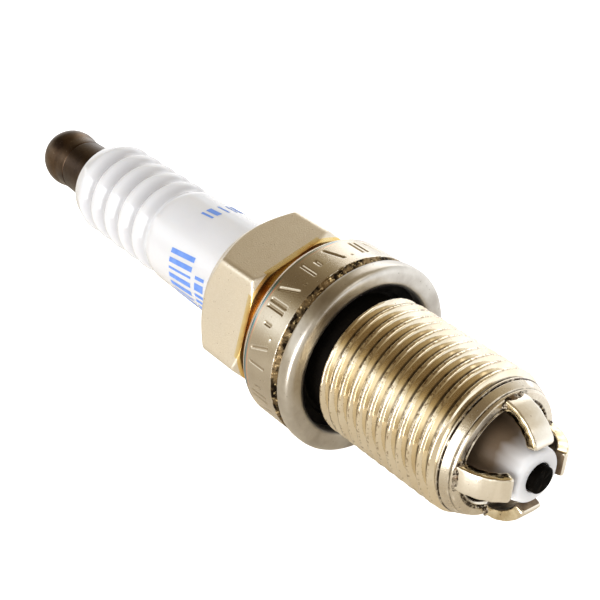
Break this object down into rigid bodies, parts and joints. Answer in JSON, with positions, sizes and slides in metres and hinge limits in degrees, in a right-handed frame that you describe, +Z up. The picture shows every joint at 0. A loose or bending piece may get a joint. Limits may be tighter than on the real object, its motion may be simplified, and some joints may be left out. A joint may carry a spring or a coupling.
{
  "type": "spark plug",
  "caption": "Spark plug with a threaded nickel shell, hexagon, sealing ring, ribbed ceramic insulator, screw-on terminal nut and curled ground electrodes.",
  "frame": {"origin": "centre of the shell's gasket seat, on the plug's axis", "axes": "+Y along the axis towards the terminal, -Y towards the firing end, +Z up and square to one flat of the hexagon"},
  "size_m": [0.019, 0.0774, 0.019],
  "materials": {
    "nickel_plate": "satin nickel plate",
    "glazed_alumina": "gloss",
    "gasket_steel": "matte",
    "gunmetal": "dark oxidised",
    "stud_steel": "plain",
    "seal_glass": "copper filled",
    "resistor_mix": "matte",
    "electrode_alloy": "blackened",
    "copper": "copper",
    "talc": "pressed powder",
    "washer_brass": "plain",
    "ground_alloy": "matte"
  },
  "bodies": {
    "plug_body": {"shell": "nickel_plate", "insulator": "glazed_alumina", "terminal_stud": "stud_steel", "upper_glass_seal": "seal_glass", "resistor": "resistor_mix", "lower_glass_seal": "seal_glass", "center_electrode": "electrode_alloy", "electrode_copper_core": "copper", "lower_packing_ring": "stud_steel", "talc_ring": "talc", "upper_packing_ring": "stud_steel", "seat_washer": "washer_brass", "ground_electrode_1": "ground_alloy", "ground_electrode_2": "ground_alloy", "ground_electrode_3": "ground_alloy", "ground_electrode_4": "ground_alloy"},
    "sealing_ring": {"gasket": "gasket_steel"},
    "nut": {"terminal_nut": "gunmetal"}
  },
  "joints": [
    {"name": "gasket_slide", "type": "slide", "parent": "plug_body", "child": "sealing_ring", "axis": [0, -1, 0], "range_m": [0, 0.0012]},
    {"name": "terminal_nut_unscrew", "type": "slide", "parent": "plug_body", "child": "nut", "axis": [0, 1, 0], "range_m": [0, 0.0095]}
  ]
}
